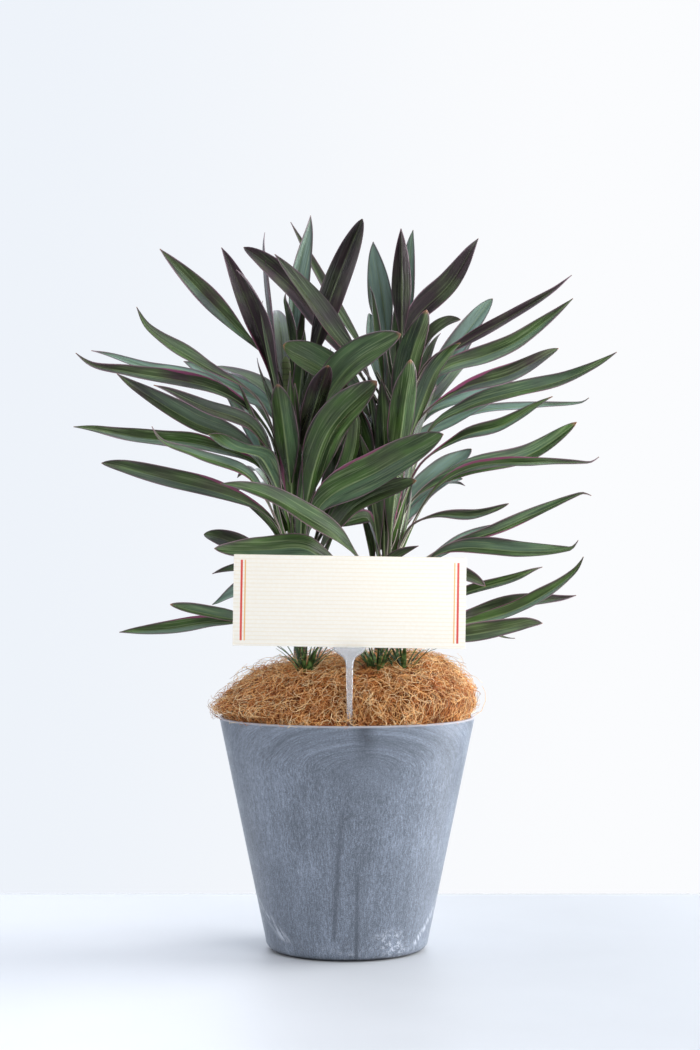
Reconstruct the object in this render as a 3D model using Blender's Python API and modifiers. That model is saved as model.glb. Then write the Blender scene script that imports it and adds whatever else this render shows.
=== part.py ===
"""A potted ti plant: two canes with crowns of strap leaves, rooted in a tapered grey planter.

The planter is filled with potting soil under a mound of coir, and a message card stands in
a clear stake at the front. Metres, +Z up, with the origin under the middle of the planter.
The front of the plant faces -Y.
"""

import math

import bmesh
import bpy
from mathutils import Vector

MM = 0.001
CM = 0.01

# Planter
POT_HEIGHT = 272 * MM
POT_TOP_RADIUS = 150 * MM
POT_FOOT_RADIUS = 93 * MM
POT_WALL = 5 * MM
POT_FLOOR = 8 * MM
FOOT_ROUND = 8 * MM
FOOT_STEPS = 4
RIM_EDGE = 1.2 * MM
POT_SIDES = 64

# Fill
GAP = 0.3 * MM
SOIL_TOP = 225 * MM
COIR_TOP = 346 * MM
COIR_REACH = 149 * MM
COIR_SIDES = 40
COIR_FRONT_DIP = 0.13
COIR_DIP_SPREAD = 0.5

# Canes: x at the height of CANE_LOW and of CANE_HIGH
CANE_LOW = 180 * MM
CANE_HIGH = 690 * MM
CANE_X = {"left": (-46 * MM, -72 * MM), "right": (28 * MM, 64 * MM)}
CANE_RADIUS_LOW = 9 * MM
CANE_RADIUS_HIGH = 5 * MM

# Leaves
LEAF_THICKNESS = 1 * MM
LEAF_STATIONS = 9
PETIOLE_WIDTH = 9 * MM
TIP_WIDTH = 1 * MM
PETIOLE_LEAN = 0.45
PETIOLE_REACH = 0.8
FOLD_AT_BASE = 38
FOLD_AT_BLADE = 12

# Message card and its stake
CARD_WIDTH = 260 * MM
CARD_HEIGHT = 102 * MM
CARD_THICKNESS = 1 * MM
CARD_CENTRE = Vector((3 * MM, -133 * MM, 410 * MM))
CARD_ROLL = 0.9
STAKE_LOW = 231 * MM
STAKE_WIDTH = 5.6 * MM
STAKE_DEPTH = 2.4 * MM
CUP_LOW = 335 * MM
CUP_HIGH = 358 * MM
CUP_WIDTH = 29 * MM
CUP_DEPTH = 12 * MM
PADDLE_TOP = 400 * MM
PADDLE_WIDTH = 18 * MM
PADDLE_THICKNESS = 1.6 * MM

# Each leaf, in cm and degrees: the height of its root on the cane, its width, how far the
# blade rolls about its midrib, and then the points that the midrib passes, the last its tip.
LEAVES = {
    "left": [
        (36.8, 2.6, 35, (-15, 1, 38.8), (-27, 2, 37)),
        (37.6, 2.4, 35, (-13, -3, 39.3), (-20.3, -4, 40.4)),
        (40.5, 2.4, 38, (-12, 4, 48.2), (-17, 6, 48.7)),
        (41.5, 4.2, -80, (-0.5, -8, 54.3), (10.6, -15, 59.9)),
        (43.2, 2.9, 50, (-11.5, -4, 52.4), (-20, -5, 54.6), (-28, -6, 56.7)),
        (44.6, 2.2, 45, (-13.4, -7, 56.3), (-22, -9, 60.6)),
        (46.0, 3.8, 20, (-2.6, -8, 59.7), (3.3, -14, 65.8)),
        (47.0, 2.6, 40, (-13.5, 1, 58.5), (-22, 1, 59.9), (-32.2, 1, 61.4)),
        (48.0, 3.0, -10, (-11, -8, 57.6), (-15.4, -16, 60.2)),
        (49.0, 3.0, 52, (-16.5, -2, 61.1), (-26.6, -4, 66.9)),
        (50.2, 2.4, 0, (-7.3, -7, 60), (-7.9, -12, 65.5)),
        (51.2, 2.6, 60, (-14.3, -7, 62.5), (-22.4, -10, 65.8)),
        (52.4, 2.8, 40, (-13.5, -1, 64.2), (-21, -2, 66.9), (-28, -2, 67.7), (-31.7, -2, 69.8)),
        (54.0, 2.4, 30, (-16.5, 5, 67.5), (-30.5, 7, 70.5)),
        (55.0, 2.4, 40, (-12.5, -3, 66.4), (-19, -4, 69.7), (-24.1, -4, 74.6)),
        (56.0, 3.8, -85, (-0.4, -8, 67.1), (6.2, -13, 71)),
        (58.5, 3.0, 55, (-13.2, 1, 73.6), (-22.2, 2, 82.4)),
        (60.0, 3.2, 10, (-9.8, -4, 74.2), (-12.3, -7, 78.7)),
        (61.2, 3.0, 55, (-11.6, 0, 76), (-14.7, 0, 82.6)),
        (62.4, 3.0, 50, (-2, -3, 76.6), (2, -4, 85)),
        (63.6, 2.4, -35, (-9.2, 3, 77), (-9.9, 4, 84)),
        (65.0, 2.6, -55, (-5.6, 5.5, 78), (-4.1, 7, 87)),
        (44.0, 3.2, 0, (-9, 12, 54), (-15, 24, 54)),
        (54.6, 3.2, 0, (-10, 10, 66), (-18, 19, 70)),
    ],
    "right": [
        (35.9, 2.8, -40, (13, -5.5, 37.6), (21.8, -8, 38.9)),
        (36.8, 3.0, -35, (14, -3, 38.1), (22.5, -5, 41.2), (27.9, -5, 46)),
        (37.6, 2.2, -30, (15, 4, 40.2), (27.4, 5, 41)),
        (38.6, 3.6, 40, (-4, -8, 47.4), (-15, -10, 47)),
        (39.8, 3.0, -35, (12, -4, 46.2), (19, -6, 46.4), (26.2, -7, 48)),
        (40.8, 3.0, 65, (-2.8, -11, 50), (-13.8, -15, 54.5)),
        (41.8, 2.2, -30, (13.5, -1, 47.8), (22, -2, 51.2), (28, -2, 53)),
        (43.0, 2.4, -35, (10, -4, 50.9), (18.5, -5, 52.1)),
        (44.2, 2.2, -30, (13, -2, 55.2), (21, -3, 57.1), (29, -3, 57.4)),
        (45.4, 2.8, -40, (12, 1, 55.6), (20, 2, 57.8), (27.1, 2, 62)),
        (47.8, 2.8, -47, (13.5, -5, 60), (23.4, -8, 64.3)),
        (49.4, 2.2, -32, (14, 4, 63), (22, 6, 63.8), (29.2, 6, 65)),
        (50.4, 3.2, -10, (6.4, -9, 63.3), (7.2, -14, 67.9)),
        (51.2, 2.8, -42, (14.5, 0, 63.9), (24, 0, 66.3), (31.9, 0, 70)),
        (53.0, 3.0, -52, (13.5, -4, 64.8), (24.2, -6, 70)),
        (54.2, 2.6, 0, (9.8, -6, 67), (12.8, -10, 70.3)),
        (55.6, 3.4, 5, (7.2, -7.5, 68.5), (8.8, -12.5, 73.2), (9.6, -14, 71.8)),
        (56.6, 3.0, -45, (13, 1, 67.8), (20, 2, 71.2), (26.9, 2, 76.9)),
        (57.6, 4.2, 80, (-0.5, -2.5, 66.5), (-7.6, -7, 70.2)),
        (58.8, 3.0, -35, (12, 4, 70.8), (17.4, 6, 77.2)),
        (60.0, 2.4, -38, (15, -2, 71.6), (25.7, -3, 78.8)),
        (61.0, 3.4, 50, (-5.2, 2, 76.6), (-12.3, 3, 82.9)),
        (62.0, 4.2, 75, (-2.4, -5.5, 73.4), (-8.2, -9, 80.4)),
        (63.2, 2.0, 10, (-1.5, 7.5, 77.8), (-6.5, 10, 87)),
        (64.4, 3.4, -60, (10.4, -1, 76.6), (15.4, -1, 83)),
        (65.6, 2.5, 45, (4, 2, 77), (3.1, 4, 83.6)),
        (67.0, 2.6, 0, (6.4, -1.6, 76), (6.3, -2.5, 84.2)),
        (43.6, 3.2, 0, (12, 12, 54), (19, 20, 54)),
        (52.0, 3.2, 0, (2, 13, 64), (-3, 24, 66)),
    ],
}


def smooth(t):
    t = min(max(t, 0.0), 1.0)
    return t * t * (3 - 2 * t)


def clear_scene():
    for obj in list(bpy.data.objects):
        bpy.data.objects.remove(obj)


def new_collection(name):
    collection = bpy.data.collections.new(name)
    bpy.context.scene.collection.children.link(collection)
    return collection


def new_material(name, colour, roughness, metallic=0.0):
    material = bpy.data.materials.new(name)
    material.use_nodes = True
    shader = material.node_tree.nodes["Principled BSDF"]
    shader.inputs["Base Color"].default_value = (*colour, 1)
    shader.inputs["Roughness"].default_value = roughness
    shader.inputs["Metallic"].default_value = metallic
    return material


def add_object(name, data, collection, material=None):
    obj = bpy.data.objects.new(name, data)
    collection.objects.link(obj)
    if material:
        data.materials.append(material)
    return obj


def mesh_from(name, bm):
    mesh = bpy.data.meshes.new(name)
    bm.to_mesh(mesh)
    bm.free()
    return mesh


def turned(name, profile, sides, collection, material=None):
    """A profile of (radius, height) points, top to bottom down its outer side, turned about Z."""
    bm = bmesh.new()
    verts = [bm.verts.new((radius, 0, height)) for radius, height in profile]
    for start, end in zip(verts, verts[1:]):
        bm.edges.new((start, end))
    obj = add_object(name, mesh_from(name, bm), collection, material)
    screw = obj.modifiers.new("turn", "SCREW")
    screw.steps = screw.render_steps = sides
    screw.use_merge_vertices = True
    screw.merge_threshold = 0.00005
    return obj


def evaluated_mesh(obj):
    """The object as its modifiers leave it, as a mesh of its own."""
    bpy.context.view_layer.update()
    graph = bpy.context.evaluated_depsgraph_get()
    return bpy.data.meshes.new_from_object(obj.evaluated_get(graph))


def pot_outer(height):
    return POT_FOOT_RADIUS + (POT_TOP_RADIUS - POT_FOOT_RADIUS) * height / POT_HEIGHT


def pot_inner(height):
    return pot_outer(height) - POT_WALL


def make_pot(parts, material):
    """A tapered planter with a flat base, a rounded foot and a thin rim."""
    lip = RIM_EDGE
    profile = [
        (0, POT_FLOOR),
        (pot_inner(POT_FLOOR), POT_FLOOR),
        (pot_inner(POT_HEIGHT - lip), POT_HEIGHT - lip),
        (pot_inner(POT_HEIGHT) + lip, POT_HEIGHT),
        (POT_TOP_RADIUS - lip, POT_HEIGHT),
        (POT_TOP_RADIUS, POT_HEIGHT - lip),
    ]
    for step in range(FOOT_STEPS + 1):
        turn = math.radians(90 * step / FOOT_STEPS)
        height = FOOT_ROUND * (1 - math.sin(turn))
        profile.append((pot_outer(FOOT_ROUND) - FOOT_ROUND * (1 - math.cos(turn)), height))
    profile.append((0, 0))
    return turned("planter_pot", profile, POT_SIDES, parts, material)


def make_soil(parts, material):
    floor = POT_FLOOR + GAP
    profile = [
        (0, SOIL_TOP),
        (pot_inner(SOIL_TOP) - 2 * GAP, SOIL_TOP),
        (pot_inner(floor) - 2 * GAP, floor),
        (0, floor),
    ]
    return turned("potting_soil", profile, POT_SIDES, parts, material)


def coir_lump(x, y):
    """Height of the mound's lumps at a place on it."""
    wave = math.sin(46 * x + 1.3) * math.cos(52 * y - 0.6) + 0.6 * math.sin(95 * x - 70 * y)
    return 3 * MM * wave


def shape_coir(mesh):
    """Lumps on the mound, and a steeper face at the front, where the stake goes in."""
    for vertex in mesh.vertices:
        place = vertex.co
        if place.z <= POT_HEIGHT + 2 * MM:
            continue
        angle = math.atan2(place.x, -place.y)
        pull = 1 - COIR_FRONT_DIP * math.exp(-((angle / COIR_DIP_SPREAD) ** 2))
        rise = smooth((place.z - POT_HEIGHT) / (30 * MM))
        place.z += coir_lump(place.x, place.y) * rise
        place.x *= pull
        place.y *= pull


def make_coir(parts, material):
    """A mound that fills the top of the pot, bulges over the rim and is flat-topped in the middle."""
    rise = COIR_TOP - POT_HEIGHT
    floor = SOIL_TOP + GAP
    mound = [(0.0, 1.0), (0.3, 0.99), (0.53, 0.96), (0.72, 0.86), (0.86, 0.68), (0.95, 0.45), (1.0, 0.2)]
    profile = [(share * COIR_REACH, POT_HEIGHT + rise * level) for share, level in mound]
    profile += [
        (pot_inner(POT_HEIGHT) - 2 * GAP, POT_HEIGHT + 1 * MM),
        (pot_inner(floor) - 2 * GAP, floor),
        (0, floor),
    ]
    source = turned("coir_profile", profile, COIR_SIDES, parts)
    mesh = evaluated_mesh(source)
    bpy.data.objects.remove(source)
    shape_coir(mesh)
    return add_object("coir_mulch", mesh, parts, material)


def cane_centre(side, height):
    low, high = CANE_X[side]
    share = (height - CANE_LOW) / (CANE_HIGH - CANE_LOW)
    return Vector((low + (high - low) * share, 0, height))


def cane_radius(height):
    share = (height - CANE_LOW) / (CANE_HIGH - CANE_LOW)
    return CANE_RADIUS_LOW + (CANE_RADIUS_HIGH - CANE_RADIUS_LOW) * share


def cane_tube(name, side, low, high, extra, collection, material=None):
    """A length of the cane, or of the hole it stands in when extra widens it."""
    curve = bpy.data.curves.new(name, "CURVE")
    curve.dimensions = "3D"
    curve.bevel_depth = 1
    curve.bevel_resolution = 3
    curve.use_fill_caps = True
    spline = curve.splines.new("POLY")
    spline.points.add(1)
    for point, height in zip(spline.points, (low, high)):
        point.co = (*cane_centre(side, height), 1)
        point.radius = cane_radius(height) + extra
    return add_object(name, curve, collection, material)


def to_mesh_object(curve_object):
    """The curve object as a closed mesh object of the same name, its caps welded."""
    name = curve_object.name
    collection = curve_object.users_collection[0]
    mesh = evaluated_mesh(curve_object)
    matrix = curve_object.matrix_world.copy()
    bpy.data.objects.remove(curve_object)
    bm = bmesh.new()
    bm.from_mesh(mesh)
    bmesh.ops.remove_doubles(bm, verts=bm.verts, dist=0.00001)
    bmesh.ops.recalc_face_normals(bm, faces=bm.faces)
    bm.to_mesh(mesh)
    bm.free()
    obj = add_object(name, mesh, collection)
    obj.matrix_world = matrix
    return obj


def cut(obj, cutter, operation="DIFFERENCE"):
    boolean = obj.modifiers.new(operation.lower() + "_" + cutter.name, "BOOLEAN")
    boolean.operation = operation
    boolean.object = cutter
    cutter.hide_render = True
    cutter.display_type = "WIRE"


def leaf_width(u):
    """Share of the full width, from the petiole at 0 to the pointed tip at 1."""
    return math.sin(math.pi * u**1.3) ** 1.1 if 0 < u < 1 else 0.0


def midrib_points(side_name, root_height, points):
    """The root, on the cane's surface and facing the first point, and then the points."""
    centre = cane_centre(side_name, root_height)
    first = Vector(points[0]) * CM
    heading = Vector((first.x - centre.x, first.y, 0)).normalized()
    root = centre + heading * (cane_radius(root_height) + LEAF_THICKNESS / 2 + 1.2 * GAP)
    return heading, [root] + [Vector(point) * CM for point in points]


def midrib_curve(heading, points):
    """A smooth curve through the points: each one's place along it, from 0 to 1, and its slope."""
    spans = [(end - start).length for start, end in zip(points, points[1:])]
    places = [sum(spans[:count]) / sum(spans) for count in range(len(points))]
    leave = (heading * PETIOLE_LEAN + Vector((0, 0, 1))).normalized()
    slopes = [leave * sum(spans) * PETIOLE_REACH]
    for index in range(1, len(points) - 1):
        before = (points[index] - points[index - 1]) / (places[index] - places[index - 1])
        after = (points[index + 1] - points[index]) / (places[index + 1] - places[index])
        slopes.append((before + after) / 2)
    last = (points[-1] - points[-2]) / (places[-1] - places[-2])
    slopes.append(last * 1.5 - slopes[-1] / 2)
    return places, slopes


def midrib_at(points, places, slopes, u):
    """Point and direction of the midrib at u."""
    index = max(i for i in range(len(points) - 1) if places[i] <= u)
    span = places[index + 1] - places[index]
    t = (u - places[index]) / span
    start, end = points[index], points[index + 1]
    leave, arrive = slopes[index] * span, slopes[index + 1] * span
    point = start * (2 * t**3 - 3 * t**2 + 1) + leave * (t**3 - 2 * t**2 + t)
    point += end * (3 * t**2 - 2 * t**3) + arrive * (t**3 - t**2)
    direction = (start - end) * (6 * t**2 - 6 * t) + leave * (3 * t**2 - 4 * t + 1)
    direction += arrive * (3 * t**2 - 2 * t)
    return point, direction.normalized()


def make_leaf(name, side_name, spec, parts, material):
    """A V-folded strap blade on a narrow channelled petiole, shaped from a flat grid."""
    root_height, width, roll, *via = spec
    heading, points = midrib_points(side_name, root_height * CM, via)
    places, slopes = midrib_curve(heading, points)
    chord = points[-1] - points[0]
    side = Vector((-chord.y, chord.x, 0)).normalized()
    bm = bmesh.new()
    bmesh.ops.create_grid(bm, x_segments=LEAF_STATIONS, y_segments=2, size=1)
    for vertex in bm.verts:
        u = (vertex.co.x + 1) / 2
        across = vertex.co.y
        point, tangent = midrib_at(points, places, slopes, min(u, 1.0))
        normal = tangent.cross(side).normalized()
        level = normal.cross(tangent)
        turn = math.radians(roll) * smooth(u / 0.45)
        across_axis = level * math.cos(turn) - normal * math.sin(turn)
        up_axis = normal * math.cos(turn) + level * math.sin(turn)
        petiole = PETIOLE_WIDTH * (1 - u) ** 1.5
        half = max(width * CM * leaf_width(u), petiole, TIP_WIDTH) / 2
        fold = math.radians(FOLD_AT_BLADE + (FOLD_AT_BASE - FOLD_AT_BLADE) * (1 - u) ** 3)
        fold *= smooth(u / 0.12)
        vertex.co = point + across_axis * across * half * math.cos(fold)
        vertex.co += up_axis * (abs(across) - 0.5) * half * math.sin(fold)
    bmesh.ops.recalc_face_normals(bm, faces=bm.faces)
    leaf = add_object(name, mesh_from(name, bm), parts, material)
    shell = leaf.modifiers.new("thickness", "SOLIDIFY")
    shell.thickness = LEAF_THICKNESS
    shell.offset = 0
    return leaf


def make_box(name, size, centre, collection, material=None):
    bm = bmesh.new()
    bmesh.ops.create_cube(bm, size=1)
    bmesh.ops.scale(bm, verts=bm.verts, vec=size)
    obj = add_object(name, mesh_from(name, bm), collection, material)
    obj.location = centre
    return obj


def make_card(parts, material):
    size = (CARD_WIDTH, CARD_THICKNESS, CARD_HEIGHT)
    card = make_box("message_card", size, CARD_CENTRE, parts, material)
    card.rotation_euler.y = math.radians(CARD_ROLL)
    return card


def stake_bar(name, extra, collection, material=None):
    """The stake's flat stem, or its slot in the fill when extra widens it."""
    high = CUP_LOW + 4 * MM
    size = (STAKE_WIDTH + 2 * extra, STAKE_DEPTH + 2 * extra, high - STAKE_LOW + extra)
    centre = Vector((CARD_CENTRE.x, CARD_CENTRE.y, (high + STAKE_LOW - extra) / 2))
    return make_box(name, size, centre, collection, material)


def make_stake(parts, cutters, material):
    """A stem that flares into a slotted cup, with a paddle up the back of the card."""
    stake = stake_bar("card_stake", 0, parts, material)
    profile = [
        (CUP_WIDTH / 2 - 1.5 * MM, CUP_HIGH + 1.5 * MM),
        (CUP_WIDTH / 2, CUP_HIGH),
        (CUP_WIDTH * 0.42, CUP_HIGH - 5 * MM),
        (CUP_WIDTH * 0.24, CUP_HIGH - 11 * MM),
        (CUP_WIDTH * 0.13, CUP_LOW + 4 * MM),
        (CUP_WIDTH * 0.10, CUP_LOW),
    ]
    rounded = [(0, CUP_HIGH + 1.5 * MM)] + profile + [(0, CUP_LOW)]
    cup = turned("stake_cup", rounded, 24, cutters)
    cup.scale.y = CUP_DEPTH / CUP_WIDTH
    cup.location = (CARD_CENTRE.x, CARD_CENTRE.y, 0)
    back = CARD_CENTRE.y + CARD_THICKNESS / 2 + 2 * GAP + PADDLE_THICKNESS / 2
    paddle_size = (PADDLE_WIDTH, PADDLE_THICKNESS, PADDLE_TOP - CUP_HIGH + 8 * MM)
    paddle_middle = (PADDLE_TOP + CUP_HIGH - 8 * MM) / 2
    paddle = make_box("stake_paddle", paddle_size, Vector((CARD_CENTRE.x, back, paddle_middle)), cutters)
    slot_size = (CARD_WIDTH + 20 * MM, CARD_THICKNESS + 2 * GAP, CARD_HEIGHT + 2 * GAP)
    slot = make_box("card_slot", slot_size, CARD_CENTRE, cutters)
    slot.rotation_euler.y = math.radians(CARD_ROLL)
    cut(stake, cup, "UNION")
    cut(stake, paddle, "UNION")
    cut(stake, slot)
    return stake


def main():
    clear_scene()
    parts = new_collection("potted_ti_plant")
    cutters = new_collection("cutters")
    stone = new_material("grey_composite", (0.27, 0.29, 0.34), 0.55)
    earth = new_material("potting_soil", (0.05, 0.03, 0.02), 0.95)
    fibre = new_material("coir_fibre", (0.45, 0.22, 0.08), 0.9)
    bark = new_material("cane_bark", (0.10, 0.12, 0.05), 0.7)
    leaf_green = new_material("leaf_green", (0.035, 0.07, 0.03), 0.4)
    card_board = new_material("card_board", (0.93, 0.88, 0.77), 0.6)
    clear = new_material("clear_plastic", (0.85, 0.85, 0.88), 0.1)

    make_pot(parts, stone)
    soil = make_soil(parts, earth)
    coir = make_coir(parts, fibre)
    for side, specs in LEAVES.items():
        cane_tube("cane_" + side, side, CANE_LOW, CANE_HIGH, 0, parts, bark)
        hole = cane_tube("hole_" + side, side, CANE_LOW - GAP, CANE_HIGH, GAP, cutters)
        hole = to_mesh_object(hole)
        cut(soil, hole)
        cut(coir, hole)
        for number, spec in enumerate(specs, start=1):
            make_leaf(f"leaf_{side}_{number:02d}", side, spec, parts, leaf_green)
    make_card(parts, card_board)
    make_stake(parts, cutters, clear)
    cut(coir, stake_bar("stake_slot", GAP, cutters))


main()
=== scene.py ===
import random
from functools import partial
from math import atan2, cos, exp, hypot, pi, radians, sin, tau

import bpy
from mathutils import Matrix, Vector


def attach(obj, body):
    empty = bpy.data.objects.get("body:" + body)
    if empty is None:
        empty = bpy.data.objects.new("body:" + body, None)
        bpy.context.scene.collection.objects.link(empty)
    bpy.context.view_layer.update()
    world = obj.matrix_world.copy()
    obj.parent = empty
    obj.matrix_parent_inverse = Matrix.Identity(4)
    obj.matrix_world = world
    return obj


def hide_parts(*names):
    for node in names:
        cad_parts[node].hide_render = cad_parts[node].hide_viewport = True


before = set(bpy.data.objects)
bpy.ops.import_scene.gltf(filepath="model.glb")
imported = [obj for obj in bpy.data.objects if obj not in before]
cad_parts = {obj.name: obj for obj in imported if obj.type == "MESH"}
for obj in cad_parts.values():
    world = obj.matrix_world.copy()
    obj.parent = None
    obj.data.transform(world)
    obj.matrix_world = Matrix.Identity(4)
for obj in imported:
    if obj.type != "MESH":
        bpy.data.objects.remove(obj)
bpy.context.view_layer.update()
print("frame loaded:", len(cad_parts), "CAD nodes")

mm = 0.001
cm = 0.01


# ---- small helpers

def colour(hexValue):
    # sRGB hex to linear
    parts = [int(hexValue[i:i + 2], 16) / 255 for i in (1, 3, 5)]
    return tuple(p / 12.92 if p <= 0.04045 else ((p + 0.055) / 1.055) ** 2.4 for p in parts) + (1.0,)


def smooth(t):
    t = min(max(t, 0.0), 1.0)
    return t * t * (3 - 2 * t)


def selectOnly(obj):
    if bpy.context.mode != "OBJECT":
        bpy.ops.object.mode_set(mode="OBJECT")
    bpy.ops.object.select_all(action="DESELECT")
    if obj:
        obj.select_set(True)
        bpy.context.view_layer.objects.active = obj


def newest(name):
    obj = bpy.context.object
    obj.name = name
    obj.data.name = name
    return obj


def applyModifier(obj, kind, **settings):
    selectOnly(obj)
    modifier = obj.modifiers.new(kind.lower(), kind)
    for key, value in settings.items():
        setattr(modifier, key, value)
    bpy.ops.object.modifier_apply(modifier=modifier.name)


def copyOf(obj, name):
    # a copy with its own mesh
    new = obj.copy()
    new.data = obj.data.copy()
    new.name = name
    new.data.name = name
    bpy.context.collection.objects.link(new)
    return new


def extrudeRings(name, sides, rings):
    # a filled circle, then one extrude for each (radius, centre) ring
    radius, centre = rings[0]
    selectOnly(None)
    bpy.ops.mesh.primitive_circle_add(vertices=sides, radius=radius, fill_type="NGON", location=centre)
    obj = newest(name)
    bpy.ops.object.transform_apply()
    bpy.ops.object.mode_set(mode="EDIT")
    bpy.ops.mesh.select_mode(type="FACE")
    bpy.ops.mesh.select_all(action="SELECT")
    for newRadius, newCentre in rings[1:]:
        move = Vector(newCentre) - Vector(centre)
        bpy.ops.mesh.extrude_region_move(TRANSFORM_OT_translate={"value": move})
        grow = newRadius / radius
        bpy.ops.transform.resize(value=(grow, grow, 1), center_override=newCentre)
        radius, centre = newRadius, newCentre
    bpy.ops.mesh.select_all(action="SELECT")
    bpy.ops.mesh.normals_make_consistent(inside=False)
    bpy.ops.object.mode_set(mode="OBJECT")
    return obj


def finishPiece(obj, replaced=(), angle=40, material=None):
    selectOnly(obj)
    if material:
        obj.data.materials.append(material)
    bpy.ops.object.transform_apply()
    bpy.ops.object.shade_smooth_by_angle(angle=radians(angle))
    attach(obj, "root")
    if replaced:
        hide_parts(*replaced)
    return obj


def addNode(tree, kind, *links):
    # kind is a node's name, or a pair of its name and settings; links fill its visible sockets from
    # the top, or are one dictionary by name: each is a node, a socket, a hex colour or a plain value
    name, settings = (kind, {}) if isinstance(kind, str) else kind
    node = tree.nodes.new("ShaderNode" + name)
    for key, value in settings.items():
        if key == "ramp":
            elements = node.color_ramp.elements
            for place, hexValue in value[2:]:
                elements.new(place)
            for element, (place, hexValue) in zip(elements, value):
                element.position = place
                element.color = colour(hexValue)
        else:
            setattr(node, key, value)
    sockets = [socket for socket in node.inputs if socket.enabled]
    if links and isinstance(links[0], dict):
        sockets = [next(s for s in sockets if s.name == label) for label in links[0]]
        links = links[0].values()
    for socket, value in zip(sockets, links):
        if isinstance(value, bpy.types.Node):
            value = next(s for s in value.outputs if s.enabled)
        if isinstance(value, bpy.types.NodeSocket):
            tree.links.new(value, socket)
        else:
            socket.default_value = colour(value) if isinstance(value, str) else value
    return node


# the nodes that come up most, with their settings
softRange = ("MapRange", {"interpolation_type": "SMOOTHSTEP"})
blend = ("Mix", {"data_type": "RGBA"})
times, plus, timesPlus, minus, larger, distance, sine, cosine = (
    ("Math", {"operation": name})
    for name in ("MULTIPLY", "ADD", "MULTIPLY_ADD", "SUBTRACT", "MAXIMUM", "ABSOLUTE", "SINE", "COSINE"))
plusClamped = ("Math", {"operation": "ADD", "use_clamp": True})


def newMaterial(name):
    # the material, and the function that adds nodes to it
    material = bpy.data.materials.new(name)
    material.use_nodes = True
    material.node_tree.nodes.clear()
    return material, partial(addNode, material.node_tree)


# ---- camera, lamps, world and floor

view = {
    "camera": (0.0035, -2.67, 0.48),
    "tilt": 90.353,
    "lens": 77.83,
    "sensor": 36,
    "floorEnd": 0.39,                 # where the floor meets the wall
    "wallLeft": "#eef3fa", "wallRight": "#fbfcfe",
    # the floor runs from floorLeft to a darker floorRight: painted shade that evens out the lamps on the
    # right
    "floorLeft": "#d6d9de", "floorRight": "#afb2b6",
    "dimSide": 0.25, "brightSide": 0.8,   # strength of the room's light
    "dimShine": 0.1, "brightShine": 2.6,  # and of what glossy surfaces see of it
}

# name, place, size in metres, watts
lamps = [
    ("keyLamp", (1.5, -2.2, 1.5), 1.6, 40),
    ("fillLamp", (-2.2, -0.4, 0.9), 1.6, 13),
    ("topLamp", (0.2, 0.1, 2.7), 1.8, 8),
    ("sideLamp", (2.2, 0.4, 0.8), 2.0, 102),
]


def addLamp(name, place, size, watts, aim=(0, 0, 0.5)):
    selectOnly(None)
    bpy.ops.object.light_add(type="AREA", location=place)
    lamp = newest(name)
    lamp.data.size = size
    lamp.data.energy = watts
    lamp.rotation_euler = (Vector(aim) - Vector(place)).to_track_quat("-Z", "Y").to_euler()
    return lamp


def setStage():
    scene = bpy.context.scene
    scene.view_settings.view_transform = "Standard"
    selectOnly(None)
    bpy.ops.object.camera_add(location=view["camera"], rotation=(radians(view["tilt"]), 0, 0))
    camera = bpy.context.object
    camera.data.sensor_fit = "VERTICAL"
    camera.data.sensor_height = view["sensor"]
    camera.data.sensor_width = view["sensor"]
    camera.data.lens = view["lens"]
    scene.camera = camera

    for name, place, size, watts in lamps:
        addLamp(name, place, size, watts)

    world = bpy.data.worlds.new("paleRoom")
    scene.world = world
    world.use_nodes = True
    world.node_tree.nodes.clear()
    add = partial(addNode, world.node_tree)
    coords = add("TexCoord").outputs["Generated"]
    split = add("SeparateXYZ", coords)
    across = add(softRange, split.outputs["X"], -0.16, 0.12)
    wall = add(blend, across, view["wallLeft"], view["wallRight"])
    seen = add("Background", wall, 1)
    # the room lights the plant from above and behind more than from the camera's side
    above = add(times, split.outputs["Z"], 0.65)
    behind = add(timesPlus, split.outputs["Y"], 0.45, above)
    power = add("MapRange", behind, -0.8, 0.8, view["dimSide"], view["brightSide"])
    light = add("Background", "#f3f7ff", power)
    glow = add(softRange, behind, 0, 0.75, view["dimShine"], view["brightShine"])
    shine = add("Background", "#e8f0fc", glow)
    rays = add("LightPath")
    light = add("MixShader", rays.outputs["Is Glossy Ray"], light, shine)
    shown = add(larger, rays.outputs["Is Camera Ray"], rays.outputs["Is Transmission Ray"])
    mixed = add("MixShader", shown, light, seen)
    add("OutputWorld", mixed)

    # sealed pale concrete, faintly mottled, painted darker towards the right as painted shade that evens out
    # the lamps' light there, gone past the line where the wall stands
    material, add = newMaterial("paleConcreteFloor")
    coords = add("TexCoord").outputs["Object"]
    split = add("SeparateXYZ", coords)
    blotch = add("TexNoise", coords, 3, 5)
    tint = add("MapRange", blotch, 0.3, 0.7, -0.08, 0.08)
    # painted shade: the floor darkens from left to right against the lamps' light on that side
    across = add(softRange, split.outputs["X"], -0.32, 0.36)
    across = add(plusClamped, across, tint)
    base = add(blend, across, view["floorLeft"], view["floorRight"])
    shader = add("BsdfPrincipled", {"Base Color": base, "Roughness": 0.55})
    past = add(softRange, split.outputs["Y"], view["floorEnd"], view["floorEnd"] + 0.03)
    clear = add("BsdfTransparent")
    add("OutputMaterial", add("MixShader", past, shader, clear))
    selectOnly(None)
    bpy.ops.mesh.primitive_plane_add(size=14, location=(0, 0, -0.0004))
    floor = newest("floor")
    bpy.ops.object.transform_apply()
    floor.data.materials.append(material)


setStage()
print("camera, lamps and floor done")


# ---- leaves

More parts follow.
